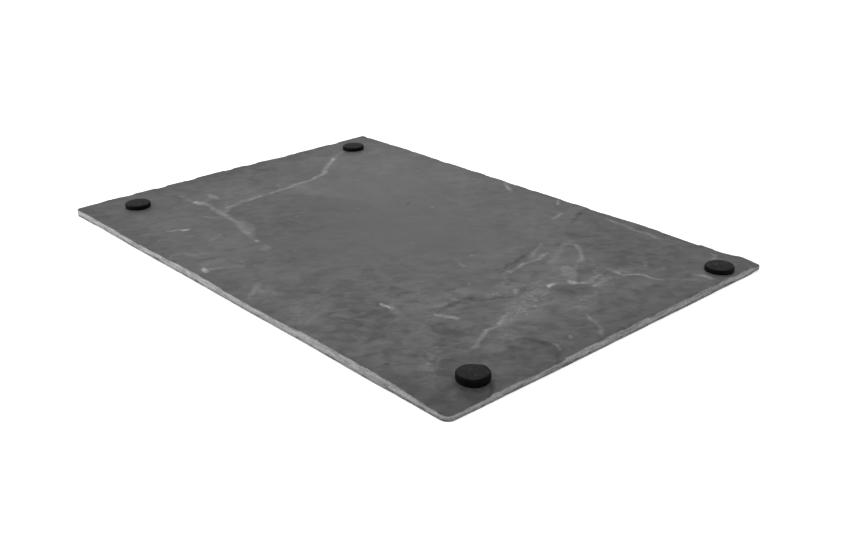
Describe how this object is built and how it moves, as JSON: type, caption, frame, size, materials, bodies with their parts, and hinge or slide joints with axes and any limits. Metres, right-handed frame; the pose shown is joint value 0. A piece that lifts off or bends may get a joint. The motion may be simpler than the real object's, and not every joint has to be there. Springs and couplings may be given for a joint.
{
  "type": "slate serving board",
  "caption": "Flat rectangular serving board of split natural slate with small round rubber pads stuck to its underside.",
  "frame": {"origin": "middle of the board's length and width, on the surface it lies on; the board lies as in the picture, on its serving face", "axes": "+X along the length, towards the pads named right; +Y along the width, towards the pads named back; +Z out of the underside, the way the pads stand up. For use it is turned half round about X."},
  "size_m": [0.3, 0.2, 0.0072],
  "materials": {
    "slate": "dark grey split slate, dull, with pale powdery veins and broken edges",
    "pad_rubber": "black, matt, slightly dusty"
  },
  "bodies": {
    "root": {"slate_slab": "slate", "pad_front_left": "pad_rubber", "pad_front_right": "pad_rubber", "pad_back_left": "pad_rubber", "pad_back_right": "pad_rubber"}
  },
  "joints": []
}
